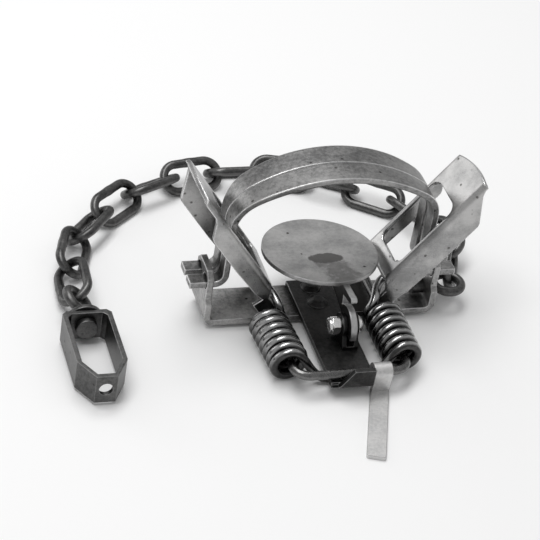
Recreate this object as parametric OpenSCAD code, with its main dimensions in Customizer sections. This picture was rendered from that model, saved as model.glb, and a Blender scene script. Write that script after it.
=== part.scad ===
// Two-coil-spring foothold trap, sprung: jaws closed and upright, levers raised, chain and swivel on the floor.
// X runs from ear to ear, -Y points to the dog's side, Z is up. The origin is on the floor.
// In plan it is the middle of the trap without its chain, and the base lies behind it.

/* [Base] */
// Length of the base strip over the outer faces of its two ears
base_length = 114; // [108:1:124]
// Width of the base strip
base_width = 23; // [21:0.5:23.4]
// Thickness of the base strip and its ears
base_thick = 3; // [2.5:0.1:3.2]
// Height of the ears above the underside of the strip
ear_height = 28; // [26.5:0.5:31]
// Width of an ear at its top
ear_top_width = 18.4; // [17:0.2:19.4]
// Outer radius of the bend between strip and ear
ear_bend = 5; // [4.2:0.2:5.4]
// Diameter of the two frame rivets
rivet_d = 5; // [4:0.5:6]
// Height of the rivet heads, on which the base stands
rivet_head = 2; // [1.6:0.1:2.4]

/* [Tongue] */
// Width of the tongue strip that crosses the base
tongue_width = 21.5; // [19:0.5:22]
// Thickness of the tongue strip
tongue_thick = 2.5; // [2:0.1:2.8]
// Height of the hooked lip in front of the crossbar
lip_height = 7.5; // [6:0.5:8]

/* [Spring pin and springs] */
// Diameter of the U-shaped spring pin
pin_d = 4.2; // [3.8:0.1:4.4]
// Distance between the two legs of the pin
pin_spacing = 54; // [52:0.5:57]
// Height of the pin above the floor
pin_height = 10.5; // [10.2:0.1:11]
// Distance of the crossbar in front of the base centre
crossbar_reach = 60.6; // [59.6:0.2:63]
// Bend radius of the pin, at its centre line
pin_bend = 7; // [6:0.5:8]
// Wire diameter of the coil springs
wire_d = 4.1; // [3.8:0.1:4.2]
// Mean diameter of the coils
coil_d = 14.6; // [14:0.1:15]
// Turns in each coil
coil_turns = 6.85; // [5.85:1:6.85]
// Distance from one turn to the next
coil_pitch = 4.72; // [4.7:0.02:4.8]
// Sideways lean of the left coil on its leg, from front to rear
coil_lean = 2.2; // [0:0.1:2.4]

/* [Levers] */
// Angle of the raised levers above the floor
lever_angle = 53.7; // [52:0.5:56]
// Distance from the pivot to the outer end of a lever
lever_reach = 78.5; // [76:0.5:81]
// Outside width of a lever over its two flanges
lever_width = 31; // [30:0.2:32]
// Thickness of the lever plate
lever_thick = 2; // [1.8:0.1:2.2]
// Height of the lever's top face above its pivot
lever_rise = 8.6; // [8.4:0.1:9.4]
// Depth of the long flange, which runs on to the lever's end
deep_flange = 14.8; // [12:0.2:15.6]
// Depth of the short flange on the other edge
shallow_flange = 9.4; // [8.6:0.2:11]
// Distance from the pivot to the outer end of the long flange's lower edge
deep_end = 62; // [58:0.5:65]
// Distance from the pivot to the outer end of the short flange's lower edge
shallow_end = 56; // [53:0.5:59]
// Radius of the lever's rounded outer end
lever_end_r = 44; // [42:1:50]
// Length of the eye through which the jaws pass
eye_length = 39; // [37:0.5:41]
// Width of that eye
eye_width = 24; // [22:0.1:24.4]
// Distance from the pivot to the inner end of the eye
eye_start = 20.6; // [20:0.2:21.4]
// Outside radius of the lever's long bends
lever_bend = 3; // [2.6:0.1:3.4]

/* [Jaws] */
// Distance over the outer faces of the jaw legs
jaw_span = 100; // [96:0.5:101]
// Height of the top of the closed jaws above the floor
jaw_top = 83.5; // [80:0.5:88]
// Thickness of the jaw strip
jaw_thick = 3; // [2.6:0.1:3.2]
// Width of one jaw at its crown
crown_width = 13; // [11:0.5:14]
// Width of one jaw's legs and lugs
leg_width = 6.8; // [6.2:0.2:7]
// Outer radius of the jaw's shoulders
shoulder_r = 20; // [17:0.5:23]
// Outer radius of the jaw's crown
crown_r = 76; // [72:1:84]
// Distance of each jaw's pivot from the middle
jaw_pivot_y = 5; // [4.8:0.1:5.2]
// Height of the jaw pivots above the floor
jaw_pivot_z = 23.5; // [22.5:0.1:24]
// Length by which the lugs stand out of the ears
lug_out = 8; // [6:0.5:10]

/* [Pan] */
// Diameter of the pan
pan_d = 55; // [52:0.5:56]
// Thickness of the pan
pan_thick = 2; // [1.6:0.1:2.4]
// Height of the pan's top face above the floor
pan_height = 31; // [30:0.2:33]
// Distance of the pan's centre behind the base centre
pan_back = 3.7; // [2:0.1:5]
// Angle by which the pan hangs down at the rear
pan_droop = 4.8; // [3:0.2:6]
// Thickness of the pan shank
shank_thick = 3; // [2.6:0.1:3.2]
// Thickness of each cheek of the clevis
cheek_thick = 2; // [1.6:0.1:2.4]
// Distance of the clevis to the right of the middle
clevis_x = 4.5; // [3.5:0.1:5]
// Distance of the pan bolt in front of the base centre
bolt_reach = 33.4; // [32:0.2:35]
// Height of the pan bolt above the floor
bolt_height = 16; // [15.6:0.1:17]
// Diameter of the pan bolt
bolt_d = 5; // [4.5:0.1:5.5]

/* [Dog] */
// Width of the dog strip
dog_width = 8.5; // [7.5:0.1:9]
// Thickness of the dog strip
dog_thick = 2; // [1.6:0.1:2.2]
// Length of the part of the dog that lies on the floor
dog_length = 47; // [42:0.5:52]
// Angle by which that part is set askew
dog_skew = 20; // [14:0.5:22]
// Distance of the dog to the right of the middle
dog_x = 13.2; // [12.6:0.2:15]

/* [Chain and swivel] */
// Wire diameter of the chain
chain_wire = 4.4; // [4:0.1:4.6]
// Outside length of a chain link
link_length = 34; // [33:0.2:35]
// Outside width of a chain link
link_width = 18.6; // [18:0.2:19.4]
// Diameter of the swivel's eye ring, at the wire's centre
ring_d = 13; // [12.4:0.1:14]
// Diameter of the ear's eye ring, at the wire's centre
ear_ring_d = 13.6; // [13:0.1:15]
// Width of the swivel strap, which stands upright
strap_height = 14.5; // [13:0.1:16]
// Thickness of the swivel strap
strap_thick = 2.2; // [1.8:0.1:2.6]
// Outside length of the swivel strap
strap_length = 46; // [42:0.5:52]
// Outside width of the swivel strap
strap_width = 22.5; // [21:0.5:25]
// Diameter of the hole in the strap's nose
nose_hole_d = 6.4; // [5:0.1:7]
// Diameter of the swivel washer
washer_d = 17.6; // [16.5:0.2:19]
// Thickness of the swivel washer
washer_thick = 2; // [1.5:0.1:2.5]

/* [Hidden] */
$fn = 48;

// Clearances: running fits, seats that nearly touch, and room between moving pieces
run_gap = 0.1;
seat_gap = 0.3;
over = 1;

// Distance from the origin back to the middle of the base
base_back = 38.1;

// Heights of the stacked strips
base_z = rivet_head;
base_top = base_z + base_thick;
tongue_top = base_top + tongue_thick;
ear_top = base_z + ear_height;
ear_x = base_length / 2;
ear_shoulder = base_top + 9;
rivet_head_d = 2 * rivet_d;
rivet_spacing = base_width / 2;

// Pin, crossbar and coils
pin_x = pin_spacing / 2;
pin_r = pin_d / 2;
wire_r = wire_d / 2;
coil_r = coil_d / 2;
coil_z = coil_r + wire_r;
arm_forward = 2.9;
dog_r = pin_r + run_gap + dog_thick;
coil_front = -crossbar_reach + dog_r + wire_r + seat_gap + arm_forward;
pin_end = lever_width / 2 + 1.5;
tongue_front = -crossbar_reach - pin_r - seat_gap - tongue_thick;

// Levers, measured along (s) and across (n) from their pivot
lever_inner = lever_width / 2 - lever_thick;
lug_r = pin_r + 1.8;
flange_start = 8.3;
plate_start = 13;
deep_low = lever_rise - deep_flange;
shallow_low = lever_rise - shallow_flange;
rim_low = lever_rise - lever_thick - 0.4;
flange_slant = 1;
end_shift = 5;
eye_corner = 5;

// Jaws
jaw_gap = 0.3;
leg_x = jaw_span / 2 - jaw_thick / 2;
foot_r = ear_x - base_thick - leg_x - 0.5;
crown_z = jaw_top - crown_r;
shoulder_x = jaw_span / 2 - shoulder_r;
shoulder_z = crown_z + sqrt(pow(crown_r - shoulder_r, 2) - pow(shoulder_x, 2));
shoulder_a = atan2(shoulder_z - crown_z, shoulder_x);
lug_hole_r = sqrt(pow(leg_width, 2) + pow(jaw_thick, 2)) / 2 + run_gap;

// Pan
clevis_floor = 2;
clevis_foot = 8.2;
nose_reach = 2.2;
nose_thick = 3;
notch_back = 8;
lobe_r = 9.6;
lobe_low = 13;
lobe_back = 47;
cheek_r = 6;
shank_r = 5.2;
nut_high = 4.3;
collar_high = 1.6;
clevis_half = shank_thick / 2 + seat_gap + cheek_thick;
bolt_y = -bolt_reach;

// Dog: a loop round the crossbar, a steep facet and a strip on the floor
lip_right = dog_x - dog_width / 2 - seat_gap;
facet_drop = pin_height - dog_thick / 2;
facet_run = -0.8;

// Chain: headings of its links in plan, from the ear to the swivel, chosen by hand in steps of five degrees
chain_headings = [65, 95, 120, 145, 150, 165, 180, 190, 205, 220, 230, 250, 265];
chain_gap = 1.1;
chain_tilt = 39;
chain_r = chain_wire / 2;
bow_r = (link_width - chain_wire) / 2;
chain_z = bow_r * sin(chain_tilt) + chain_r;
swivel_z = washer_d / 2 + 0.2;
link_reach = link_length - chain_wire;
link_step = link_reach - chain_wire - chain_gap;
hook = (chain_wire + chain_gap) / 2;
ring_r = ring_d / 2;
ear_ring_r = ear_ring_d / 2;
eye_z = base_top + 4.8;
eye_shank_r = 2.2;
eye_neck = 1;
eye_head = 6;
eye_head_r = 3.8;
swivel_neck = 5;
// The ear's ring lies level, and the first link stands nearly upright in it
first_tilt = 70;
ring_way = [cos(chain_headings[0]), sin(chain_headings[0]), 0];
chain_start = [ear_x + eye_neck + chain_r + ear_ring_r, 0, eye_z] + (ear_ring_r - hook) * ring_way;
last_link = len(chain_headings) - 1;
first_drop = asin((eye_z - chain_z) / link_step);
last_rise = asin((swivel_z - chain_z) / link_step);

// Slope of link k: the second comes down to the floor, the last climbs to the swivel
function link_slope(k) = k == 1 ? -first_drop : k == last_link ? last_rise : 0;
// Turn of link k about its own length
function link_tilt(k) = k == 0 ? first_tilt : k % 2 == 0 ? chain_tilt : -chain_tilt;

// Direction of link k, counted from 0 at the ear
function link_way(k) = let (h = chain_headings[k], e = link_slope(k))
    [cos(h) * cos(e), sin(h) * cos(e), sin(e)];
// Point where link k meets the piece before it
function link_joint(k) = k == 0 ? chain_start : link_joint(k - 1) + link_step * link_way(k - 1);
function link_centre(k) = link_joint(k) + link_way(k) * link_step / 2;
chain_end = link_joint(len(chain_headings));

// Swivel, lying along -Y behind the last link
swivel_x = chain_end[0];
swivel_ring_y = chain_end[1] + hook - ring_r;
washer_y = swivel_ring_y - ring_r - chain_r - swivel_neck;
strap_y = washer_y - washer_thick - seat_gap;
swivel_shank_r = 2.5;
swivel_head_r = 5;
swivel_head = 2.6;
nose_half = 4.8;
nose_length = 11;

steel = [0.42, 0.42, 0.42];
worn_steel = [0.55, 0.55, 0.54];
dark_steel = [0.24, 0.24, 0.25];
zinc = [0.75, 0.76, 0.78];

// A round rod between two points on a line along one axis
module rod_y(r, y0, y1) {
    translate([0, y0, 0]) rotate([-90, 0, 0]) cylinder(r = r, h = y1 - y0);
}
module rod_x(r, x0, x1) {
    translate([x0, 0, 0]) rotate([0, 90, 0]) cylinder(r = r, h = x1 - x0);
}
// A flat ring sector: inner and outer radius, start angle and sweep
module ring_sector(r0, r1, a0, sweep) {
    rotate(a0) difference() {
        intersection() {
            circle(r = r1, $fn = 96);
            polygon([[0, 0], for (a = [0, 0.5, 1]) 2 * r1 * [cos(a * sweep), sin(a * sweep)]]);
        }
        if (r0 > 0) circle(r = r0, $fn = 96);
    }
}
// A bar outline whose two outer corners are rounded
module round_bar(length, width, corner) {
    difference() {
        translate([0, -width / 2]) square([length, width]);
        for (side = [-1, 1]) translate([length - corner, side * (width / 2 - corner)]) difference() {
            translate([0, side > 0 ? 0 : -corner]) square([corner + over, corner + over * (side > 0 ? 1 : 0)]);
            circle(r = corner);
        }
    }
}

// Every piece is drawn about the middle of the base and moved to the shared origin here
module placed() {
    translate([0, base_back, 0]) children();
}

module ear_outline() {
    half = base_width / 2;
    top = ear_top_width / 2;
    corner = 3;
    polygon([[-half, base_z + ear_bend], [half, base_z + ear_bend], [half, ear_shoulder],
        [top, ear_shoulder + half - top], [top, ear_top - corner], [top - corner, ear_top],
        [-top + corner, ear_top], [-top, ear_top - corner], [-top, ear_shoulder + half - top],
        [-half, ear_shoulder]]);
}

module ear() {
    difference() {
        union() {
            translate([ear_x - base_thick, 0, 0]) rotate([90, 0, 90]) linear_extrude(base_thick) ear_outline();
            translate([ear_x - ear_bend, base_width / 2, base_z + ear_bend]) rotate([90, 0, 0])
                linear_extrude(base_width) ring_sector(ear_bend - base_thick, ear_bend, -90, 90);
        }
        for (side = [-1, 1]) translate([0, side * jaw_pivot_y, jaw_pivot_z])
            rod_x(lug_hole_r, ear_x - base_thick - over, ear_x + over);
    }
}

// Flat strip whose two ends are bent up into ears that carry the jaws
module base_strip() color(steel) difference() {
    union() {
        translate([-ear_x + ear_bend, -base_width / 2, base_z])
            cube([base_length - 2 * ear_bend, base_width, base_thick]);
        ear();
        mirror([1, 0, 0]) ear();
    }
    translate([0, 0, eye_z]) rod_x(eye_shank_r + run_gap, ear_x - base_thick - over, ear_x + over);
    for (side = [-1, 1]) translate([0, side * rivet_spacing / 2, base_z - over])
        cylinder(d = rivet_d, h = base_thick + 2 * over);
}

// Cross strip riveted on the base; its front end hooks under and up in front of the crossbar
module tongue_strip() color(dark_steel) {
    lip_top = tongue_top + lip_height;
    lip_y = tongue_front + tongue_thick;
    half = tongue_width / 2;
    lip_lean = 7;
    difference() {
        translate([-half, 0, 0]) rotate([90, 0, 90]) linear_extrude(tongue_width) {
            translate([lip_y, base_top]) square([base_width / 2 - lip_y, tongue_thick]);
            translate([lip_y, tongue_top]) ring_sector(0, tongue_thick, 180, 90);
            translate([tongue_front, tongue_top]) square([tongue_thick, lip_height]);
        }
        translate([0, lip_y + seat_gap / 2, 0]) rotate([90, 0, 0]) linear_extrude(tongue_thick + over)
            polygon([[-half - over, tongue_top - tongue_thick / 2], [-half * 0.7, tongue_top - tongue_thick / 2],
                [lip_lean - half * 0.7, lip_top + over], [-half - over, lip_top + over]]);
        translate([lip_right, tongue_front - over, base_top - over])
            cube([tongue_width, over - tongue_front - crossbar_reach + dog_r + seat_gap, lip_top]);
        for (side = [-1, 1]) translate([0, side * rivet_spacing / 2, base_top - over])
            cylinder(d = rivet_d, h = tongue_thick + 2 * over);
    }
}

// Two rivets that join tongue and base
module frame_rivets() color(steel) for (side = [-1, 1]) translate([0, side * rivet_spacing / 2, 0]) {
    cylinder(d1 = rivet_head_d - 2, d2 = rivet_head_d, h = rivet_head);
    cylinder(d = rivet_d, h = tongue_top);
    translate([0, 0, tongue_top]) cylinder(d1 = rivet_head_d, d2 = rivet_d, h = rivet_head);
}

// One rod bent into a U: the crossbar in front and two legs that carry coils and levers
module spring_pin() color(dark_steel) translate([0, 0, pin_height]) {
    inner = pin_x - pin_bend;
    translate([0, -crossbar_reach, 0]) rod_x(pin_r, -inner, inner);
    for (side = [0, 1]) mirror([side, 0, 0]) {
        translate([inner, -crossbar_reach + pin_bend, 0]) rotate(-90) rotate_extrude(angle = 90)
            translate([pin_bend, 0]) circle(r = pin_r, $fn = 32);
        translate([pin_x, 0, 0]) rod_y(pin_r, -crossbar_reach + pin_bend, pin_end);
    }
}

// Centre line of the right spring, from the arm under the tongue to the arm under the lever
function lerp3(a, b, c, d, t) = pow(1 - t, 3) * a + 3 * t * pow(1 - t, 2) * b + 3 * t * t * (1 - t) * c + pow(t, 3) * d;
function lever_point(s, n, y) = [pin_x + s * cos(lever_angle) - n * sin(lever_angle), y,
    pin_height + s * sin(lever_angle) + n * cos(lever_angle)];
arm_low = base_top - wire_r - seat_gap;
arm_top = coil_z + coil_r;
coil_start = 90;
coil_sweep = 360 * coil_turns;
coil_rings = round(8 * coil_turns);
rear_y = coil_front + coil_pitch * coil_turns;
arm_n = lever_rise - lever_thick - seat_gap - wire_r - 0.1;
arm_seat = 12;
arm_end = 21;
lever_way = [cos(lever_angle), 0, sin(lever_angle)];
arm_turn = lever_point(arm_seat, arm_n, -lever_inner + wire_r + 3.6);
front_arm = [for (i = [0:6]) lerp3([tongue_width / 2 - 3, coil_front - arm_forward, arm_low],
    [tongue_width / 2 + 8, coil_front - arm_forward, arm_low], [pin_x - 7, coil_front - 1, arm_top],
    [pin_x, coil_front, arm_top], i / 7)];
function coil_points(lean) = [for (i = [0:coil_rings]) let (t = i / coil_rings, a = coil_start - coil_sweep * t)
    [pin_x + lean * t + coil_r * cos(a), coil_front + (rear_y - coil_front) * t, coil_z + coil_r * sin(a)]];
arm_pass = lug_r + wire_r + 3 * seat_gap;
function rear_arm(from) = [for (i = [1:7]) lerp3(from, lever_point(arm_seat - 7.5, arm_pass, from[1]),
    lever_point(arm_seat - 7.5, arm_pass, arm_turn[1]), arm_turn, i / 7)];
function spring_line(lean) = let (coil = coil_points(lean))
    concat(front_arm, coil, rear_arm(coil[coil_rings]), [arm_turn + (arm_end - arm_seat) * lever_way]);

function unit(v) = v / norm(v);
function tangent(line, i) = unit(line[min(i + 1, len(line) - 1)] - line[max(i - 1, 0)]);
function across(v, t) = unit(v - (v * t) * t);
// Frames carried along the line so that the tube doesn't twist
function frames(line) = [for (i = 0, n = across([0, 1, 0], tangent(line, 0)); i < len(line);
    i = i + 1, n = i < len(line) ? across(n, tangent(line, i)) : n) n];
module tube(line, r, sides = 6) {
    normals = frames(line);
    last = len(line) - 1;
    points = [for (i = [0:last]) let (t = tangent(line, i), n = normals[i], b = cross(t, n))
        for (j = [0:sides - 1]) line[i] + r * (cos(360 * j / sides) * n + sin(360 * j / sides) * b)];
    walls = [for (i = [0:last - 1], j = [0:sides - 1]) let (k = (j + 1) % sides, a = i * sides)
        each [[a + j, a + sides + j, a + k], [a + k, a + sides + j, a + sides + k]]];
    caps = [for (j = [1:sides - 2]) each [[0, j, j + 1],
        [last * sides, last * sides + j + 1, last * sides + j]]];
    polyhedron(points, concat(walls, caps), convexity = 10);
}
// Least gap between turns, measured on the points of the centre lines
function line_gap(line) = min([for (i = [0:len(line) - 1], j = [i + 6:1:len(line) - 1])
    norm(line[i] - line[j])]) - wire_d;
spring_gap = min(line_gap(spring_line(0)), line_gap(spring_line(coil_lean)));
echo(spring_gap = spring_gap);
echo(chain_joints = [for (k = [0:last_link + 1]) link_joint(k)]);
echo(ring_way = ring_way);
echo(chain_tilts = [for (k = [0:last_link]) link_tilt(k)]);
echo(chain_ways = [for (k = [0:last_link]) link_way(k)]);
echo(swivel = [swivel_x, swivel_ring_y, swivel_z, washer_y, strap_y]);

module right_spring() color(dark_steel) tube(spring_line(0), wire_r);
module left_spring() color(dark_steel) mirror([1, 0, 0]) tube(spring_line(coil_lean), wire_r);

// Side view of one flange: pivot lug, lower edge, slanted outer end and the rim of the plate
module lever_side(low, end) {
    circle(r = lug_r);
    translate([0, -lug_r]) square([flange_start + over, 2 * lug_r]);
    polygon([[flange_start, low + 2.4], [flange_start + 6, low + 0.9], [(flange_start + end) / 2, low],
        [end - 2.4, low], [end - 0.6, low + 0.8], [end + flange_slant * (rim_low - low) - 1.5, rim_low - 1.2],
        [end + flange_slant * (rim_low - low) + 1.2, rim_low], [lever_reach + over, rim_low],
        [lever_reach + over, lever_rise], [plate_start, lever_rise], [flange_start, lug_r]]);
}
// Half of the lever's end view, an inverted U with rounded outer bends
module lever_section() {
    wide = lever_width / 2;
    low = min(deep_low, -lug_r) - over;
    inner_bend = max(lever_bend - lever_thick, 0.4);
    difference() {
        union() {
            translate([-wide, low]) square([2 * wide, lever_rise - lever_bend - low]);
            translate([-wide + lever_bend, low]) square([2 * wide - 2 * lever_bend, lever_rise - low]);
            for (side = [-1, 1]) translate([side * (wide - lever_bend), lever_rise - lever_bend]) circle(r = lever_bend);
        }
        translate([-lever_inner, low - over]) square([2 * lever_inner, lever_rise - lever_thick - inner_bend - low + over]);
        translate([-lever_inner + inner_bend, low - over])
            square([2 * (lever_inner - inner_bend), lever_rise - lever_thick - low + over]);
        for (side = [-1, 1]) translate([side * (lever_inner - inner_bend), lever_rise - lever_thick - inner_bend])
            circle(r = inner_bend);
    }
}
module eye_outline() {
    half = eye_width / 2 - eye_corner;
    translate([eye_start, -half]) square([eye_length, 2 * half]);
    translate([eye_start + eye_corner, -eye_width / 2]) square([eye_length - 2 * eye_corner, eye_width]);
    for (x = [eye_start + eye_corner, eye_start + eye_length - eye_corner], y = [-half, half])
        translate([x, y]) circle(r = eye_corner);
}
module lever_body() {
    difference() {
        intersection() {
            translate([-lug_r - over, 0, 0]) rotate([90, 0, 90])
                linear_extrude(lever_reach + lug_r + 2 * over) lever_section();
            union() {
                rotate([90, 0, 0]) linear_extrude(lever_width) lever_side(deep_low, deep_end);
                translate([0, lever_width, 0]) rotate([90, 0, 0]) linear_extrude(lever_width)
                    lever_side(shallow_low, shallow_end);
            }
            translate([lever_reach - lever_end_r, -end_shift, -lever_width])
                cylinder(r = lever_end_r, h = 2 * lever_width, $fn = 128);
        }
        translate([0, 0, rim_low - over]) linear_extrude(lever_rise) eye_outline();
        rod_y(pin_r + run_gap, -lever_width, lever_width);
    }
}
// Two like pressed levers with a long eye round both jaws, pivoting on the legs of the pin
module right_lever() color(worn_steel) translate([pin_x, 0, pin_height]) rotate([0, -lever_angle, 0]) lever_body();
module left_lever() color(worn_steel) rotate(180)
    translate([pin_x, 0, pin_height]) rotate([0, -lever_angle, 0]) lever_body();

// The whole area under a jaw's arch, drawn in by d
module arch_area(d, low) {
    reach = 2 * crown_r;
    translate([-jaw_span / 2 + d, low]) square([jaw_span - 2 * d, shoulder_z - low]);
    for (side = [-1, 1]) translate([side * shoulder_x, shoulder_z]) intersection() {
        circle(r = shoulder_r - d, $fn = 96);
        translate([-shoulder_r, -over]) square([2 * shoulder_r, shoulder_r + 2 * over]);
    }
    intersection() {
        translate([0, crown_z]) circle(r = crown_r - d, $fn = 192);
        polygon([[0, crown_z], [reach * cos(shoulder_a), crown_z + reach * sin(shoulder_a)],
            [0, crown_z + reach], [-reach * cos(shoulder_a), crown_z + reach * sin(shoulder_a)]]);
    }
}
// Front view of a jaw: crown, shoulders, legs, outward feet and lugs
module jaw_outline() {
    foot_z = jaw_pivot_z + foot_r;
    difference() {
        arch_area(0, foot_z);
        arch_area(jaw_thick, foot_z - over);
    }
    for (side = [0, 1]) mirror([side, 0]) {
        translate([leg_x + foot_r, foot_z]) ring_sector(foot_r - jaw_thick / 2, foot_r + jaw_thick / 2, 180, 90);
        translate([leg_x + foot_r, jaw_pivot_z - jaw_thick / 2])
            square([ear_x + lug_out - leg_x - foot_r, jaw_thick]);
    }
}
// Side view of the front jaw: wide crown, narrow legs
module jaw_side() {
    leg0 = -jaw_pivot_y - leg_width / 2;
    leg1 = -jaw_pivot_y + leg_width / 2;
    crown1 = -jaw_gap / 2;
    crown0 = crown1 - crown_width;
    neck = shoulder_z + 3;
    wide = crown_z + crown_r * 0.93;
    polygon([[leg0, 0], [leg1, 0], [leg1, neck - 10], [crown1, neck + 6], [crown1, jaw_top + over],
        [crown0, jaw_top + over], [crown0 + 0.6, wide], [leg0, neck]]);
}
module jaw_body() intersection() {
    translate([0, base_width, 0]) rotate([90, 0, 0]) linear_extrude(2 * base_width) jaw_outline();
    translate([-base_length, 0, 0]) rotate([90, 0, 90]) linear_extrude(2 * base_length) jaw_side();
}
module front_jaw() color(worn_steel) jaw_body();
module rear_jaw() color(worn_steel) mirror([0, 1, 0]) jaw_body();

// Round pan
module pan_plate() color(dark_steel) translate([0, pan_back, pan_height]) rotate([-pan_droop, 0, 0])
    translate([0, 0, -pan_thick]) cylinder(d = pan_d, h = pan_thick, $fn = 96);

// Height of the pan's underside at a place along Y
function pan_low(y) = pan_height - pan_thick / cos(pan_droop) - (y - pan_back) * tan(pan_droop);
// Upright tab under the pan: a nose along the pan's underside, a notch for the dog under it, and a lobe
// round the pivot that bulges to the front
module shank_lobe() intersection() {
    circle(r = lobe_r);
    far = 2 * lobe_r;
    polygon([[0, 0], [-far * sin(lobe_low), -far * cos(lobe_low)], [far, -far],
        [far * cos(lobe_back), far * sin(lobe_back)]]);
}
module pan_shank() color(steel) translate([clevis_x + shank_thick / 2, 0, 0]) rotate([0, -90, 0])
    linear_extrude(shank_thick) difference() {
        tip_y = bolt_y - nose_reach + nose_thick / 2;
        notch_y = bolt_y + notch_back;
        rear_y = pan_back - 2;
        union() {
            translate([bolt_height, bolt_y]) circle(r = shank_r);
            translate([bolt_height, bolt_y]) shank_lobe();
            translate([pan_low(tip_y) - nose_thick / 2, tip_y]) circle(r = nose_thick / 2);
            polygon([[bolt_height + shank_r * 0.4, bolt_y + shank_r * 0.9], [bolt_height + shank_r * 0.8,
                bolt_y + shank_r * 0.5], [bolt_height + lobe_r * cos(lobe_back), bolt_y + lobe_r * sin(lobe_back)],
                [pan_low(notch_y) - nose_thick - 1, notch_y], [pan_low(tip_y) - nose_thick, tip_y],
                [pan_low(tip_y), tip_y], [pan_low(rear_y), rear_y], [pan_low(rear_y) - 5, rear_y - 2]]);
        }
        translate([bolt_height, bolt_y]) circle(d = bolt_d + 2 * run_gap);
    }

// Folded bracket, a floor with two round-topped cheeks, welded to the tongue
module clevis_side() {
    translate([bolt_y, bolt_height]) circle(r = cheek_r);
    polygon([[bolt_y - cheek_r * 0.95, bolt_height - cheek_r * 0.3], [bolt_y - clevis_foot, tongue_top + clevis_floor],
        [bolt_y - clevis_foot, tongue_top], [bolt_y + cheek_r, tongue_top], [bolt_y + cheek_r, bolt_height]]);
}
module pan_clevis() color(dark_steel) difference() {
    translate([clevis_x - clevis_half, 0, 0]) rotate([90, 0, 90]) linear_extrude(2 * clevis_half) clevis_side();
    translate([clevis_x - clevis_half + cheek_thick, bolt_y - 2 * clevis_foot, tongue_top + clevis_floor])
        cube([2 * (clevis_half - cheek_thick), 4 * clevis_foot, 2 * bolt_height]);
    translate([0, bolt_y, bolt_height]) rod_x(bolt_d / 2, clevis_x - 2 * clevis_half, clevis_x + 2 * clevis_half);
}

// Bolt from the right, with a round head
module pan_bolt() color(zinc) translate([0, bolt_y, bolt_height]) {
    rod_x(bolt_d / 2, clevis_x - clevis_half - nut_high - collar_high + seat_gap, clevis_x + clevis_half);
    rod_x(bolt_d * 0.85, clevis_x + clevis_half, clevis_x + clevis_half + 3);
}
// Lock nut with its round collar
module pan_nut() color(zinc) translate([clevis_x - clevis_half, bolt_y, bolt_height]) rotate([0, -90, 0]) difference() {
    union() {
        cylinder(d = bolt_d * 1.85, h = nut_high, $fn = 6);
        translate([0, 0, nut_high]) cylinder(d = bolt_d * 1.5, h = collar_high);
    }
    translate([0, 0, -over]) cylinder(d = bolt_d, h = 2 * (nut_high + collar_high));
}

// Strip looped round the crossbar, with a facet down to the floor and a skewed tail that lies on it
module dog() color(worn_steel) {
    facet = sqrt(pow(facet_drop, 2) + pow(facet_run, 2));
    lean = atan2(facet_run, facet_drop);
    start_y = -crossbar_reach - dog_r + dog_thick / 2;
    difference() {
        union() {
            translate([dog_x, -crossbar_reach, pin_height]) rod_x(dog_r, -dog_width / 2, dog_width / 2);
            translate([dog_x, start_y, pin_height]) rotate([-lean, 0, 0])
                translate([-dog_width / 2, -dog_thick / 2, -facet]) cube([dog_width, dog_thick, facet]);
            translate([dog_x, start_y - facet_run, 0]) rotate(-90 - dog_skew) linear_extrude(dog_thick)
                translate([-dog_thick / 2, 0]) round_bar(dog_length, dog_width, 1);
        }
        translate([0, -crossbar_reach, pin_height]) rod_x(pin_r + run_gap, 0, 2 * dog_x);
    }
}

// One welded chain link along X, its loop lying in the XY plane
module link_body() {
    half = (link_reach - 2 * bow_r) / 2;
    for (side = [-1, 1]) translate([0, side * bow_r, 0]) rod_x(chain_r, -half, half);
    for (turn = [0, 180]) rotate(turn) translate([half, 0, 0]) rotate(-90)
        rotate_extrude(angle = 180) translate([bow_r, 0]) circle(r = chain_r, $fn = 32);
}
// Link k of the chain, tilted to one side and the other in turn
module chain_link(k) color(dark_steel) translate(link_centre(k))
    rotate([0, -link_slope(k), chain_headings[k]]) rotate([link_tilt(k), 0, 0])
        link_body();
// An eye ring with a shank along +X that ends in a peened head
module eye_body(ring_r, shank_r, shank, head_r, head) {
    rotate_extrude() translate([ring_r, 0]) circle(r = chain_r, $fn = 32);
    rod_x(shank_r, ring_r, ring_r + shank);
    rod_x(head_r, ring_r + shank - head, ring_r + shank);
}

// Eye peened through the right ear; the chain starts in it
module chain_eye() color(dark_steel) {
    shank = chain_r + eye_neck + base_thick + eye_head;
    translate([ear_x + eye_neck + chain_r + ear_ring_r, 0, eye_z]) rotate(180)
        eye_body(ear_ring_r, eye_shank_r, shank, eye_head_r, eye_head);
}

// Eye of the swivel, peened inside the strap
module swivel_eye() color(dark_steel) {
    shank = chain_r + swivel_neck + washer_thick + strap_thick + 2 * seat_gap + swivel_head;
    translate([swivel_x, swivel_ring_y, swivel_z]) rotate(-90) rotate([-chain_tilt, 0, 0])
        eye_body(ring_r, swivel_shank_r, shank, swivel_head_r, swivel_head);
}
// Washer between the eye and the strap
module swivel_washer() color(steel) translate([swivel_x, washer_y, swivel_z]) rotate([90, 0, 0]) difference() {
    cylinder(d = washer_d, h = washer_thick);
    translate([0, 0, -over]) cylinder(r = swivel_shank_r + run_gap, h = washer_thick + 2 * over);
}

// Plan of the strap: straight sides, a back wall and a blunt nose
module strap_plan(inset) {
    half = strap_width / 2 - inset;
    back = -inset;
    nose = -strap_length + inset;
    shoulder = -strap_length + nose_length;
    polygon([[-half + 2, back], [half - 2, back], [half, back - 2], [half, shoulder],
        [nose_half - inset * 0.4, nose], [-nose_half + inset * 0.4, nose], [-half, shoulder], [-half, back - 2]]);
}
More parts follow.
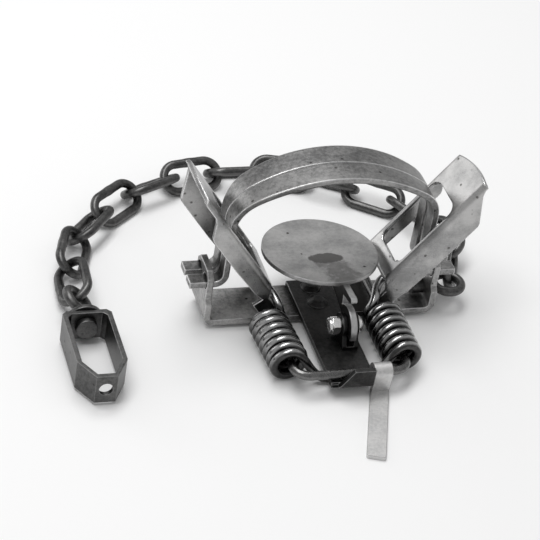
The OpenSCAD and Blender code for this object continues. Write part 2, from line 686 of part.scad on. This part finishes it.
// Strap bent into a closed loop standing on edge, with a hole for the fixing in its nose
module swivel_strap() color(dark_steel) translate([swivel_x, strap_y, swivel_z]) difference() {
    translate([0, 0, -strap_height / 2]) linear_extrude(strap_height) difference() {
        strap_plan(0);
        strap_plan(strap_thick);
    }
    rod_y(swivel_shank_r + run_gap, -strap_thick - over, over);
    rod_y(nose_hole_d / 2, -strap_length - over, -strap_length + strap_thick + over);
}

placed() base_strip();
placed() tongue_strip();
placed() frame_rivets();
placed() spring_pin();
placed() left_spring();
placed() right_spring();
placed() left_lever();
placed() right_lever();
placed() front_jaw();
placed() rear_jaw();
placed() pan_plate();
placed() pan_shank();
placed() pan_clevis();
placed() pan_bolt();
placed() pan_nut();
placed() dog();
placed() chain_eye();
placed() chain_link(0);  // chain_link_01
placed() chain_link(1);  // chain_link_02
placed() chain_link(2);  // chain_link_03
placed() chain_link(3);  // chain_link_04
placed() chain_link(4);  // chain_link_05
placed() chain_link(5);  // chain_link_06
placed() chain_link(6);  // chain_link_07
placed() chain_link(7);  // chain_link_08
placed() chain_link(8);  // chain_link_09
placed() chain_link(9);  // chain_link_10
placed() chain_link(10);  // chain_link_11
placed() chain_link(11);  // chain_link_12
placed() chain_link(12);  // chain_link_13
placed() swivel_eye();
placed() swivel_washer();
placed() swivel_strap();
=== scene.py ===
import bpy
import numpy as np
from mathutils import Matrix, Vector


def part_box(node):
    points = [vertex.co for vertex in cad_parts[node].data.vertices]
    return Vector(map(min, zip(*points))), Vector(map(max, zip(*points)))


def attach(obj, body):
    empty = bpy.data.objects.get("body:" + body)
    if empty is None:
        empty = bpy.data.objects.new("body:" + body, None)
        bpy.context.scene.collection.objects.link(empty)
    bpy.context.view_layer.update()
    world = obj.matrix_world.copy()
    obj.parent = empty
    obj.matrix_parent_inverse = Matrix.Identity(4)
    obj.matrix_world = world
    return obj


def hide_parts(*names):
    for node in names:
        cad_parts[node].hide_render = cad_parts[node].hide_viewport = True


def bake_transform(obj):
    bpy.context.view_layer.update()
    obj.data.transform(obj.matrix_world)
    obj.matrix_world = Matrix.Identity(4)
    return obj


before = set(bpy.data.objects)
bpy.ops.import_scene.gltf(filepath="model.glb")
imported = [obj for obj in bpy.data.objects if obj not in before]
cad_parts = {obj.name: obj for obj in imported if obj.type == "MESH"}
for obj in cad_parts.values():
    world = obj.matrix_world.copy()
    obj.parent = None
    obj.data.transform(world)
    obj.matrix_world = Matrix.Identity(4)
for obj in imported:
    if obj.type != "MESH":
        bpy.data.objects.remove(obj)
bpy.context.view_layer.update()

# BASE STRIP
# The base is a flat strip of hot-rolled steel whose two ends are bent up into ears, punched for the jaw lugs.
# It is bare steel: grey, mottled and pitted, paler along its rubbed edges and darker in the middle, a painted
# shade for the shade under the pan.

MM = 0.001
pit_rim = (0.07, 0.15)  # distance from the middle of a cell at which a pit begins to rise and is gone
pit_chance = (0.48, 0.54)  # grey of a cell below which it holds no pit, and above which it holds a full one
edge_turn = (0.005, 0.16)  # 1 - cosine between the rounded and the flat normal
tone_range = (0.36, 0.64)  # noise levels of the dark and of the light grey
scrape_range = (0.58, 0.76)  # levels of the drawn noise where a scratch begins and is full
# Painted shade on the middle of the base under the pan: its middle, half width, fade and ragged rim
shade_x, shade_half, shade_fade, shade_ragged = 8.0, 16.0, 12.0, 8.0  # mm


class Value:
    """One output socket of a finish; arithmetic on it adds Math nodes to the finish's tree."""

    def __init__(self, finish, socket):
        self.finish = finish
        self.socket = socket

    def math(self, operation, a, b=0.0):
        return self.finish.node("Math", {"operation": operation}, {0: a, 1: b})

    def __add__(self, other):
        return self.math("ADD", self, other)

    def __radd__(self, other):
        return self.math("ADD", other, self)

    def __sub__(self, other):
        return self.math("SUBTRACT", self, other)

    def __rsub__(self, other):
        return self.math("SUBTRACT", other, self)

    def __mul__(self, other):
        return self.math("MULTIPLY", self, other)

    def __abs__(self):
        return self.math("ABSOLUTE", self)

    def larger(self, other):
        """The larger of two values at each place."""
        return self.math("MAXIMUM", self, other)

    def swing(self, size):
        """A noise of mean one half, moved to swing about 0 and scaled by size."""
        return (self - 0.5) * size

    def part(self, axis):
        """One coordinate of a vector."""
        return self.finish.node("SeparateXYZ", {}, {"Vector": self}, out=axis)

    def step(self, low, high):
        """0 below low, 1 above high, and a smooth rise between them."""
        return self.finish.node("MapRange", {"interpolation_type": "SMOOTHSTEP"},
                                {"Value": self, "From Min": low, "From Max": high})


class Finish:
    """A material; node() adds any shader node with its settings and the values or links of its sockets."""

    def __init__(self, name):
        self.material = bpy.data.materials.new(name)
        self.material.use_nodes = True
        self.tree = self.material.node_tree
        self.tree.nodes.clear()

    def node(self, kind, settings=None, sockets=None, out=0):
        made = self.tree.nodes.new("ShaderNode" + kind)
        for key, value in (settings or {}).items():
            setattr(made, key, value)
        for key, value in (sockets or {}).items():
            if isinstance(value, Value):
                self.tree.links.new(value.socket, made.inputs[key])
            else:
                made.inputs[key].default_value = value
        return Value(self, made.outputs[out])

    def noise(self, place, scale, detail, roughness):
        return self.node("TexNoise", {}, {"Vector": place, "Scale": scale, "Detail": detail,
                                          "Roughness": roughness})

    def mix(self, factor, a, b):
        """Colour a where factor is 0, colour b where it is 1."""
        return self.node("Mix", {"data_type": "RGBA"}, {0: factor, 6: a, 7: b}, out=2)

    def surface(self, shader):
        output = self.tree.nodes.new("ShaderNodeOutputMaterial")
        self.tree.links.new(shader.socket, output.inputs["Surface"])
        return self.material


def grey(level, warmth=0.0):
    """A linear grey, a little warm or cool."""
    return (level * (1 + warmth), level, level * (1 - warmth), 1.0)


def steel(name, dark, light, edge_tone, roughness, pits=0.8, edge_radius=0.7 * MM, mottle=1.0,
          stain_or_shade=None, wear_or_highlight=None):
    """Bare steel: two greys mixed by broad and fine noise, drawn scratches, dark pits and rubbed edges.

    The edges are where a normal rounded over edge_radius turns away from the face's own normal. The pits are
    the middles of some cells of a Voronoi pattern. A stain mask darkens the face: a real stain, or painted
    shade.
    A further mask pales more places as the edges are: real wear, or a painted highlight. Noise scales are per
    mm.
    """
    f = Finish(name)
    place = f.node("TexCoord", out="Object")
    mm = f.node("VectorMath", {"operation": "SCALE"}, {0: place, "Scale": 1 / MM})
    broad = f.noise(mm, 0.06, 3.0, 0.55)
    cloud = f.noise(mm, 0.55, 5.0, 0.7)
    fine = f.noise(mm, 2.4, 3.0, 0.6)
    drawn = f.node("Mapping", {}, {"Vector": mm, "Scale": (0.1, 2.4, 2.4)})
    scratch = f.noise(drawn, 1.0, 2.0, 0.5)
    cells = f.node("VectorMath", {"operation": "SCALE"}, {0: mm, "Scale": 0.17})
    middle = f.node("TexVoronoi", {}, {"Vector": cells, "Scale": 1.0}, out="Distance")
    chance = f.node("TexVoronoi", {}, {"Vector": cells, "Scale": 1.0}, out="Color")
    pit = (1 - (middle + fine.swing(0.12)).step(*pit_rim)) * chance.step(*pit_chance) * pits
    rounded = f.node("Bevel", {"samples": 8}, {"Radius": edge_radius})
    flat = f.node("NewGeometry", out="Normal")
    facing = f.node("VectorMath", {"operation": "DOT_PRODUCT"}, {0: rounded, 1: flat}, out="Value")
    edges_and_sheen = (1 - facing).step(*edge_turn) * (0.3 + cloud * 0.9)
    tone = (broad * (0.8 - 0.45 * mottle) + cloud * (0.45 * mottle) + fine * 0.2).step(*tone_range)
    scrape = scratch.step(*scrape_range) * 0.3
    colour = f.mix(tone, grey(dark), grey(light, 0.01))
    colour = f.mix(scrape, colour, grey(light * 1.25))
    colour = f.mix(pit, colour, grey(dark * 0.2, 0.1))
    rough = roughness + fine.swing(0.16) + cloud.swing(0.14 * mottle) + pit * 0.3 - edges_and_sheen * 0.08
    # A darkening mask is either painted shade, as in the base's middle under the pan, or a real stain, as the
    # pan's weld.
    if stain_or_shade:
        mark = stain_or_shade(f, mm, cloud)
        colour = f.mix(mark, colour, grey(dark * 0.3, 0.03))
        rough = rough + mark * 0.12
    # A second paling mask is either a painted highlight, as on the spring's crests, or real wear, as on the
    # shank's sheared edges.
    if wear_or_highlight:
        edges_and_sheen = edges_and_sheen.larger(wear_or_highlight(f, mm, cloud))
    colour = f.mix(edges_and_sheen, colour, grey(edge_tone))
    bump = f.node("Bump", {}, {"Strength": 0.22, "Distance": 0.2 * MM, "Normal": rounded,
                               "Height": fine * 0.5 + cloud * 0.5 + scratch * 0.3 - pit * 0.8})
    return f.surface(f.node("BsdfPrincipled", {}, {"Base Color": colour, "Metallic": 1.0,
                                                   "Roughness": rough, "Normal": bump}))


def dress(material, *nodes):
    """Puts a finish on CAD nodes, whose meshes stay as they are."""
    for node in nodes:
        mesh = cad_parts[node].data
        mesh.materials.clear()
        mesh.materials.append(material)


def painted_shade_middle(f, mm, cloud):
    """Mask of the middle of the strip, painted shade where the pan above leaves it in shade."""
    off = abs(mm.part("X") - shade_x)
    return 1 - (off + cloud.swing(shade_ragged)).step(shade_half, shade_half + shade_fade)


# The base's middle is darkened by painted shade, for the shade under the pan.
base_steel = steel("base_steel", dark=0.18, light=0.46, edge_tone=0.75, roughness=0.4, pits=1.0,
                   edge_radius=0.9 * MM, stain_or_shade=painted_shade_middle)
dress(base_steel, "base_strip")

# TONGUE STRIP AND FRAME RIVETS
# The tongue is a second strip laid across the base and held by two cold-headed rivets under the pan.
# Its near-black colour is painted shade, standing for the shade under the pan, and it is rubbed only along its
# edges.

# Near black: painted shade for the tongue and rivets under the pan.
under_pan_shade_steel = steel("under_pan_shade_steel", dark=0.03, light=0.08, edge_tone=0.35, roughness=0.42, pits=0.5)
dress(under_pan_shade_steel, "tongue_strip", "frame_rivets")

# SPRING PIN
# One round rod is bent into a U: its crossbar shows in front, its legs run through the coils and the levers.
# It is drawn rod with a dull sheen.

rod_steel = steel("rod_steel", dark=0.09, light=0.19, edge_tone=0.3, roughness=0.27, pits=0.5)
dress(rod_steel, "spring_pin")

# COIL SPRINGS
# Each spring is one wire: an arm under the tongue, a close coil round the pin's leg, an arm in the lever.
# The wire is oil-tempered and nearly black; the tops of the turns are paler grey, a painted highlight that also
# stands for wear.

base_back = 38.1 * MM
base_top = 5 * MM
tongue_half = 10.75 * MM
pin_x = 27 * MM
pin_height = 10.5 * MM
wire_r = 2.05 * MM
coil_r = 7.3 * MM
coil_z = coil_r + wire_r
coil_turns = 6.85
coil_pitch = 4.72 * MM
coil_front = -51.15 * MM
coil_lean = 2.2 * MM
lever_angle = np.radians(53.7)
lever_under = 6.6 * MM
lever_inner = 13.5 * MM
# Front arm: how far it starts under the tongue, lies below the base's top and stands before the coil, and how
# far its curve leaves the tongue and meets the coil straight
arm_tuck = 3 * MM
arm_drop = 0.3 * MM
arm_forward = 2.9 * MM
arm_leave = 8 * MM
arm_meet = 7 * MM
arm_meet_forward = 1 * MM
# Rear arm: how far along the lever it passes the pivot lug, meets the sheet and ends
arm_pass = 4.5 * MM
arm_pass_out = 6.85 * MM
arm_seat = 12 * MM
arm_end = 21 * MM
arm_gap = 0.4 * MM
arm_inset = 3.6 * MM
arm_steps, turn_steps, pass_steps, tip_steps = 28, 36, 30, 10
# The wire follows the lever from the coil's rear end to the arm, in distances before the base's middle
# The paler crests are a painted highlight on the tops of the turns, partly standing for wear.
crest_range = (0.9, 0.1)  # mm below the coil's outside where the rubbed crest begins and is full
crest_height = (-0.3, 0.7)  # height over the coil's axis, in outer radii, where the rubbing begins and is full


def bezier(a, b, c, d, count):
    """Cubic Bezier curve through a and d, pulled towards b and c, at count even values of t."""
    t = np.linspace(0, 1, count)[:, None]
    return (1 - t) ** 3 * a + 3 * t * (1 - t) ** 2 * b + 3 * t ** 2 * (1 - t) * c + t ** 3 * d


def lever_point(along, out, y):
    """Point at a distance along the right lever from its pivot, out from its middle plane and at y."""
    c, s = np.cos(lever_angle), np.sin(lever_angle)
    return np.array([pin_x + along * c - out * s, y, pin_height + along * s + out * c])


def spring_line(lean):
    """Centre line of the right spring: front arm, helix of falling angle, arm along the lever.

    The helix moves out by lean from its front end to its rear end.
    """
    arm_low = base_top - wire_r - arm_drop
    arm_top = coil_z + coil_r
    front = bezier(np.array([tongue_half - arm_tuck, coil_front - arm_forward, arm_low]),
                   np.array([tongue_half + arm_leave, coil_front - arm_forward, arm_low]),
                   np.array([pin_x - arm_meet, coil_front - arm_meet_forward, arm_top]),
                   np.array([pin_x, coil_front, arm_top]), arm_steps)
    turn = np.linspace(0, 1, int(turn_steps * coil_turns))
    angle = np.pi / 2 - 2 * np.pi * coil_turns * turn
    coil = np.stack([pin_x + lean * turn + coil_r * np.cos(angle),
                     coil_front + coil_pitch * coil_turns * turn,
                     coil_z + coil_r * np.sin(angle)], axis=1)
    arm_y = -lever_inner + wire_r + arm_inset
    arm_out = lever_under - wire_r - arm_gap
    arm_turn = lever_point(arm_seat, arm_out, arm_y)
    rear = bezier(coil[-1], lever_point(arm_pass, arm_pass_out, coil[-1, 1]),
                  lever_point(arm_pass, arm_pass_out, arm_y), arm_turn, pass_steps)
    lever_way = np.array([np.cos(lever_angle), 0, np.sin(lever_angle)])
    tip = arm_turn + np.linspace(0, arm_end - arm_seat, tip_steps)[1:, None] * lever_way
    line = np.concatenate([front[:-1], coil[:-1], rear, tip])
    return line + np.array([0, base_back, 0])


def piece(name, points, faces):
    """A smooth-shaded mesh object at the origin from an array of points and a list of faces."""
    mesh = bpy.data.meshes.new(name)
    mesh.from_pydata(points, [], faces)
    mesh.polygons.foreach_set("use_smooth", np.full(len(mesh.polygons), True))
    mesh.validate()
    made = bpy.data.objects.new(name, mesh)
    bpy.context.scene.collection.objects.link(made)
    return made


def ring_faces(rows, sides, closed=False):
    """Quads between rows of points that go round; each end has a cap, unless the rows close on themselves."""
    i = np.arange(rows if closed else rows - 1)[:, None]
    j = np.arange(sides)[None]
    k = (j + 1) % sides
    up = (i + 1) % rows
    quads = np.stack([i * sides + j, i * sides + k, up * sides + k, up * sides + j], axis=-1)
    caps = [] if closed else [list(range(sides))[::-1], list(range((rows - 1) * sides, rows * sides))]
    return quads.reshape(-1, 4).tolist() + caps


def tube(name, line, radius, reference, closed=False, sides=20):
    """A round tube: each ring is line + radius * (cos a * n + sin a * b).

    n is the part of the reference direction that is square to the line, and b is square to both.
    """
    if closed:
        tangent = np.roll(line, -1, axis=0) - np.roll(line, 1, axis=0)
    else:
        tangent = np.gradient(line, axis=0)
    tangent /= np.linalg.norm(tangent, axis=1, keepdims=True)
    n = reference - (tangent @ reference)[:, None] * tangent
    n /= np.linalg.norm(n, axis=1, keepdims=True)
    b = np.cross(tangent, n)
    a = np.linspace(0, 2 * np.pi, sides, endpoint=False)
    r = np.broadcast_to(np.asarray(radius, float), len(line))[:, None, None]
    rings = line[:, None] + r * (np.cos(a)[:, None] * n[:, None] + np.sin(a)[:, None] * b[:, None])
    return piece(name, rings.reshape(-1, 3), ring_faces(len(line), sides, closed))


def crest_highlight_and_wear(f, mm, cloud):
    """Mask of the top of the turns, a painted highlight that also stands for wear: the distance from the coil's
    axis is near the coil's outer radius.
    """
    outside = coil_z / MM
    across = abs(mm.part("X")) - pin_x / MM
    above = mm.part("Z") - outside
    reach = across * across + above * above
    crest = reach.step(*((outside - depth) ** 2 for depth in crest_range))
    return crest * above.step(*(outside * share for share in crest_height)) * (0.35 + cloud * 0.9)


# The mask given here paints a highlight on the tops of the turns, partly standing for wear.
spring_steel = steel("spring_steel", dark=0.035, light=0.08, edge_tone=0.5, roughness=0.2, pits=0.3,
                     wear_or_highlight=crest_highlight_and_wear)
for side, sign, lean in (("left", -1, coil_lean), ("right", 1, 0.0)):
    spring = tube(side + "_spring_wire", spring_line(lean) * np.array([sign, 1, 1]), wire_r,
                  np.array([0.0, 1.0, 0.0]))
    spring.data.materials.append(spring_steel)
    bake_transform(spring)
    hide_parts(side + "_spring")

# LEVERS
# Each lever is pressed from sheet into a channel with a long eye that rides up both jaws; it turns on the pin.
# It is bare sheet steel, brushed by use, with bright rubbed edges.

lever_steel = steel("lever_steel", dark=0.24, light=0.48, edge_tone=0.9, roughness=0.3, pits=0.7,
                    edge_radius=1.0 * MM, mottle=0.35)
dress(lever_steel, "left_lever", "right_lever")

# JAWS
# Each jaw is one bent strip: a wide crown, round shoulders, legs, and lugs that turn in the ears.
# The faces are mottled and pitted, and rubbed pale along the edges.

jaw_steel = steel("jaw_steel", dark=0.14, light=0.38, edge_tone=0.9, roughness=0.37, edge_radius=1.2 * MM)
dress(jaw_steel, "front_jaw", "rear_jaw")

# PAN, SHANK AND CLEVIS
# The pan is a disc welded to an upright shank, which turns on a bolt in a clevis welded to the tongue.
# The pan is pale and cloudy with a burnt patch over the weld; shank and clevis are near black, a painted shade
# for the shade under the pan, and the shank's sheared edges are pale.

pan_middle_y = base_back / MM + 3.7
weld_x, weld_y = 0.6, pan_middle_y - 7
weld_half_x, weld_half_y = 8.5, 4.2
weld_rim = (0.8, 1.15)
trail_length = 20
trail_shift = 5
trail_half = 8
trail_rim = (0.2, 1.2)
shank_x, shank_half = 4.5, 1.5
shank_arris = (0.15, 0.02)  # mm inside a flat side where its sheared edge is full and ends


def weld_mark(f, mm, cloud):
    """Mask of an oval burnt patch over the shank's weld, with a ragged rim, and a fainter run to the front."""
    x, y = mm.part("X"), mm.part("Y")
    across = (x - weld_x) * (1 / weld_half_x)
    along = (y - weld_y) * (1 / weld_half_y)
    broad = f.noise(mm, 0.16, 3.0, 0.6)
    reach = across * across + along * along + cloud.swing(0.5) + broad.swing(1.2)
    oval = 1 - reach.step(*weld_rim)
    run = (weld_y - y) * (1 / trail_length)
    off = (x - weld_x - run * trail_shift) * (1 / trail_half)
    beside = (off * off + broad.swing(3.4) + cloud.swing(1.2)).step(*trail_rim)
    trail = (1 - beside) * run.step(0.0, 0.2) * 0.5
    return (oval * 0.85).larger(trail)


def cut_edges(f, mm, cloud):
    """Mask of the sheared edges of the shank, which lie between the planes of its two flat sides."""
    off = abs(mm.part("X") - shank_x)
    return (1 - off.step(*(shank_half - inside for inside in shank_arris))) * (0.5 + cloud * 0.6)


pan_steel = steel("pan_steel", dark=0.3, light=0.52, edge_tone=0.5, roughness=0.46, pits=1.0, mottle=0.6,
                  stain_or_shade=weld_mark)
dress(pan_steel, "pan_plate")
# Near black: painted shade, for the shade under the pan; the sheared edges stay pale.
shank_painted_shade_steel = steel("shank_painted_shade_steel", dark=0.04, light=0.1, edge_tone=0.6, roughness=0.42, pits=0.5,
                    wear_or_highlight=cut_edges)
dress(shank_painted_shade_steel, "pan_shank")
# Near black: painted shade, for the shade under the pan.
clevis_painted_shade_steel = steel("clevis_painted_shade_steel", dark=0.02, light=0.05, edge_tone=0.16, roughness=0.4, pits=0.5)
dress(clevis_painted_shade_steel, "pan_clevis")

# PAN BOLT AND LOCK NUT
# A zinc-plated machine bolt with a lock nut sets how hard the pan is to tip.
# The plating is bright and a little cloudy.

clevis_left = 0.7 * MM
clevis_width = 7.6 * MM
bolt_at = np.array([clevis_left, base_back - 33.4 * MM, 16 * MM])
bolt_r = 2.5 * MM
bolt_end = -6.0 * MM
bolt_chamfer = 0.7 * MM
bolt_tip = 0.72  # share of the bolt's radius left at its chamfered end
thread_pitch = 0.8 * MM
thread_depth = 0.32 * MM
thread_stop = -0.5 * MM
bolt_steps, bolt_sides = 420, 72
nut_flat = 4.0
nut_corner = 4.7
nut_high = 4.3
collar_r = 3.75
collar_end = 5.9
head_r = 4.25
# Outlines in mm, as (distance, radius): the nut from the clevis to the left, the head to the right
nut_outline = np.array([(0, 3.7), (0.02, nut_flat), (0.3, 4.4), (0.7, nut_corner), (2.5, nut_corner),
                        (nut_high - 0.7, nut_corner), (nut_high - 0.3, 4.4), (nut_high, nut_flat),
                        (nut_high + 0.02, collar_r), (collar_end - 0.7, collar_r), (collar_end - 0.3, 3.6),
                        (collar_end - 0.1, 3.3), (collar_end, 2.9)]) * MM
head_outline = np.array([(0, 3.9), (0.02, head_r), (1, head_r), (2, 3.9), (2.6, 3.1), (2.9, 2), (3, 0.6)]) * MM


def lathe(name, x, radius):
    """A closed surface about the bolt's axis, for rising x: point (i, j) is at x[i], radius[i, j], angle j."""
    rows, sides = radius.shape
    angle = np.linspace(0, 2 * np.pi, sides, endpoint=False)
    points = np.stack([np.broadcast_to(x[:, None], radius.shape), radius * np.cos(angle),
                       radius * np.sin(angle)], axis=-1)
    return piece(name, points.reshape(-1, 3) + bolt_at, ring_faces(rows, sides))


zinc = steel("bright_zinc", dark=0.75, light=0.95, edge_tone=1.0, roughness=0.14, pits=0.1,
             edge_radius=0.3 * MM)
around = np.linspace(0, 2 * np.pi, bolt_sides, endpoint=False)
# Nut: a hexagon cut back by the outline's chamfers, then a round collar with a soft rim.
nut_x, nut_r = nut_outline[::-1].T
hexagon = nut_flat * MM / np.cos((around + np.pi / 6) % (np.pi / 3) - np.pi / 6)
nut = lathe("pan_lock_nut", -nut_x, np.minimum(hexagon[None], nut_r[:, None]))
# Bolt: the radius dips by a saw-tooth that climbs one pitch a turn, and the head is a low dome.
body_x = np.linspace(bolt_end, clevis_width, bolt_steps)
phase = (body_x[:, None] / thread_pitch - around[None] / (2 * np.pi)) % 1
thread = bolt_r - thread_depth * np.abs(2 * phase - 1)
chamfer = np.clip((body_x - bolt_end) / bolt_chamfer, 0, 1)[:, None]
body = np.where(body_x[:, None] < thread_stop, thread, bolt_r) * (bolt_tip + (1 - bolt_tip) * chamfer)
head_x, dome = head_outline.T
head = np.repeat(dome[:, None], len(around), axis=1)
bolt = lathe("pan_pivot_bolt", np.concatenate([body_x, clevis_width + head_x]), np.concatenate([body, head]))
for fastener, node in ((nut, "pan_nut"), (bolt, "pan_bolt")):
    fastener.data.materials.append(zinc)
    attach(fastener, "frame")
    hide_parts(node)

# DOG
# The dog is a narrow strip looped loosely round the crossbar; when set it lies over a jaw to hold the pan.
# It is pale bare strip with dark edges.

dog_steel = steel("dog_steel", dark=0.5, light=0.68, edge_tone=0.16, roughness=0.5, pits=0.6,
                  edge_radius=0.4 * MM)
dress(dog_steel, "dog")

# CHAIN
# The chain is made of bent and welded wire links, hung on an eye that is peened through the right ear.
# The links are nearly black, with a weld swelling on one side, and a little thinner at their worn bows.

chain_r = 2.2 * MM
link_reach = 29.6 * MM
bow_r = 7.1 * MM
link_half = link_reach / 2 - bow_r
swelling = 0.09
swelling_reach = 2.2 * MM
bow_wear = 0.035
# Each link's way over the floor; links lean in turn to each side, the first stands up, the second falls
# to the floor and the last rises to the swivel
chain_headings = np.radians([65, 95, 120, 145, 150, 165, 180, 190, 205, 220, 230, 250, 265])
chain_tilts = np.radians(39) * (-1.0) ** np.arange(len(chain_headings))
chain_tilts[0] = np.radians(70)
chain_slopes = np.zeros(len(chain_headings))
chain_slopes[1] = np.radians(-7.47)
chain_slopes[-1] = np.radians(5.55)


def link_loop(count=64):
    """A stadium in the XY plane, by arc length: two straights and two half circles, starting mid-straight."""
    straight = 2 * link_half
    bend = np.pi * bow_r
    s = np.linspace(0, 2 * (straight + bend), count, endpoint=False) + link_half
    lap = np.floor(s / (straight + bend))
    along = s - lap * (straight + bend)
    turn = np.clip((along - straight) / bow_r, 0, np.pi)
    x = -link_half + np.minimum(along, straight) + bow_r * np.sin(turn)
    y = -bow_r * np.cos(turn)
    sign = np.where(lap % 2 == 0, 1.0, -1.0)
    return np.stack([x * sign, y * sign, np.zeros(count)], axis=1)


def turned(points, tilt, slope, heading):
    """Points turned about X by tilt, then down or up by slope, then about Z to the heading."""
    c, s = np.cos(tilt), np.sin(tilt)
    roll = np.array([[1, 0, 0], [0, c, -s], [0, s, c]])
    c, s = np.cos(slope), np.sin(slope)
    pitch = np.array([[c, 0, -s], [0, 1, 0], [s, 0, c]])
    c, s = np.cos(heading), np.sin(heading)
    yaw = np.array([[c, -s, 0], [s, c, 0], [0, 0, 1]])
    return points @ (yaw @ pitch @ roll).T


chain_steel = steel("chain_steel", dark=0.06, light=0.15, edge_tone=0.2, roughness=0.36, pits=0.5)
loop = link_loop()
weld = swelling * np.exp(-(loop[:, 0] / swelling_reach) ** 2) * (loop[:, 1] < 0)
wear = bow_wear * np.clip((np.abs(loop[:, 0]) - link_half) / (bow_r / 2), 0, 1)
link_r = chain_r * (1 + weld - wear)
for number, turns in enumerate(zip(chain_tilts, chain_slopes, chain_headings), start=1):
    node = f"chain_link_{number:02d}"
    low, high = (np.array(corner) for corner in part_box(node))
    line = turned(loop, *turns) + (low + high) / 2
    square = turned(np.array([[0.0, 0.0, 1.0]]), *turns)[0]
    link = tube(f"{node}_wire", line, link_r, square, closed=True, sides=16)
    link.data.materials.append(chain_steel)
    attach(link, node)
    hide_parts(node)
dress(chain_steel, "chain_eye")

# SWIVEL
# A strap bent into a loop turns on a headed eye with a washer behind it; the hole in its nose takes the anchor.
# The strap is dark rolled strip with rubbed edges.

strap_steel = steel("strap_steel", dark=0.06, light=0.15, edge_tone=0.3, roughness=0.4, pits=0.5)
dress(strap_steel, "swivel_strap", "swivel_washer", "swivel_eye")

# ROOM
# A wide pale floor, a soft lamp overhead, a weaker one at the left rear and an even pale sky.
# None of it belongs to the trap.

floor_half = 8.0
paper_white = (0.94, 0.94, 0.94, 1.0)
sky_strength = 0.5
trap_middle = (0, base_back, 0.03)

paper = Finish("paper")
paper.surface(paper.node("BsdfDiffuse", {}, {"Color": paper_white}))
corners = floor_half * np.array([[-1, -1, 0], [1, -1, 0], [1, 1, 0], [-1, 1, 0]])
floor = piece("floor", corners, [[0, 1, 2, 3]])
floor.data.materials.append(paper.material)

world = bpy.data.worlds.new("sky")
bpy.context.scene.world = world
world.use_nodes = True
sky = world.node_tree.nodes["Background"]
sky.inputs["Color"].default_value = (1, 1, 1, 1)
sky.inputs["Strength"].default_value = sky_strength


def lamp(name, place, width, depth, power):
    """An oblong area lamp at place, facing the trap and not seen by the camera."""
    light = bpy.data.lights.new(name, "AREA")
    light.shape = "RECTANGLE"
    light.size, light.size_y = width, depth
    light.energy = power
    made = bpy.data.objects.new(name, light)
    made.location = place
    made.rotation_euler = (Vector(place) - Vector(trap_middle)).to_track_quat("Z", "Y").to_euler()
    made.visible_camera = False
    bpy.context.scene.collection.objects.link(made)


lamp("overhead", (-0.25, 0.25, 1.15), width=1.3, depth=0.4, power=9)
lamp("side_panel", (-0.85, 0.95, 0.25), width=0.6, depth=0.6, power=1.6)

# CAMERA
# The photograph's angle, found by fitting the outlines of base, pan, jaws and coils.
# The lens is long, so the lines of the trap hardly converge.

azimuth, elevation, roll = np.radians([23.75, 36.24, 11.48])
distance = 0.9616
photo_width = 540
focal_px = 2059.3
aim = np.array([0, base_back, 0.022])
aim_offset_px = np.array([49.2, -0.2])
away = np.array([np.sin(azimuth) * np.cos(elevation), np.cos(azimuth) * np.cos(elevation),
                 -np.sin(elevation)])
level = np.array([np.cos(azimuth), -np.sin(azimuth), 0])
rise = np.cross(level, away)
right = level * np.cos(roll) + rise * np.sin(roll)
up = rise * np.cos(roll) - level * np.sin(roll)
eye = aim - distance * away
look = away - (right * aim_offset_px[0] + up * aim_offset_px[1]) / focal_px
look /= np.linalg.norm(look)
right -= (right @ look) * look
right /= np.linalg.norm(right)
up = np.cross(right, look)
lens = bpy.data.cameras.new("camera")
lens.sensor_width = 36
lens.lens = focal_px / photo_width * lens.sensor_width
lens.clip_start = 0.01
camera = bpy.data.objects.new("camera", lens)
stand = np.eye(4)
stand[:3] = np.stack([right, up, -look, eye], axis=1)
camera.matrix_world = Matrix(stand.tolist())
bpy.context.scene.collection.objects.link(camera)
bpy.context.scene.camera = camera
bpy.context.scene.view_settings.view_transform = "Standard"
